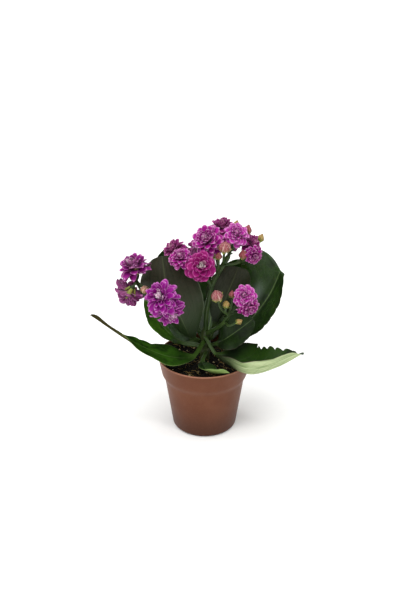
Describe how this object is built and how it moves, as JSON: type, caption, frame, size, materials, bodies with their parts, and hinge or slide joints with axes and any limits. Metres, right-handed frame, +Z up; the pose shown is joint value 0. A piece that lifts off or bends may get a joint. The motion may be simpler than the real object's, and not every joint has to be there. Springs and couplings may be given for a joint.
{
  "type": "potted kalanchoe",
  "caption": "Small double-flowered kalanchoe with broad fleshy leaves and magenta flower heads, growing in a round thin-walled nursery pot that stands on its flat base.",
  "frame": {"origin": "centre of the pot's flat base, on the surface that the pot stands on", "axes": "+Z up along the pot's axis, -Y towards the front of the plant, +X to the viewer's right"},
  "size_m": [0.1299, 0.102, 0.1409],
  "materials": {
    "pot_plastic": "thin moulded terracotta-coloured plastic, satin",
    "soil": "dark peat potting soil with pale perlite and fibres",
    "stem": "smooth green plant stem",
    "leaf": "fleshy leaf, dark satin green above, paler below",
    "petal": "soft magenta petals with paler edges",
    "bud": "closed pink and yellow-green flower buds"
  },
  "bodies": {
    "root": {"bud_far_right": "bud", "bud_front_back": "bud", "bud_front_green": "bud", "bud_front_pink": "bud", "bud_left_cream": "bud", "bud_middle_open": "bud", "bud_middle_pale": "bud", "bud_middle_small": "bud", "bud_right_red": "bud", "bud_spent": "bud", "bud_top": "bud", "bud_top_right": "bud", "flower_back_left": "petal", "flower_back_right": "petal", "flower_centre": "petal", "flower_far_left_lower": "petal", "flower_far_left_upper": "petal", "flower_front_left_lower": "petal", "flower_front_left_upper": "petal", "flower_left_back": "petal", "flower_left_front": "petal", "flower_right_front_lower": "petal", "flower_right_front_upper": "petal", "flower_right_lower": "petal", "flower_right_upper": "petal", "flower_stalk_centre": "stem", "flower_stalk_left": "stem", "flower_stalk_right": "stem", "flower_top_back": "petal", "flower_top_left": "petal", "flower_top_right": "petal", "leaf_back_left": "leaf", "leaf_back_low": "leaf", "leaf_back_upright": "leaf", "leaf_centre_right": "leaf", "leaf_front_left_low": "leaf", "leaf_front_left_upright": "leaf", "leaf_front_right_low": "leaf", "leaf_front_small": "leaf", "leaf_left_low_back": "leaf", "leaf_left_outer": "leaf", "leaf_left_young": "leaf", "leaf_right_low_back": "leaf", "leaf_right_middle": "leaf", "leaf_right_tall": "leaf", "main_stem": "stem", "pot": "pot_plastic", "potting_soil": "soil"}
  },
  "joints": []
}
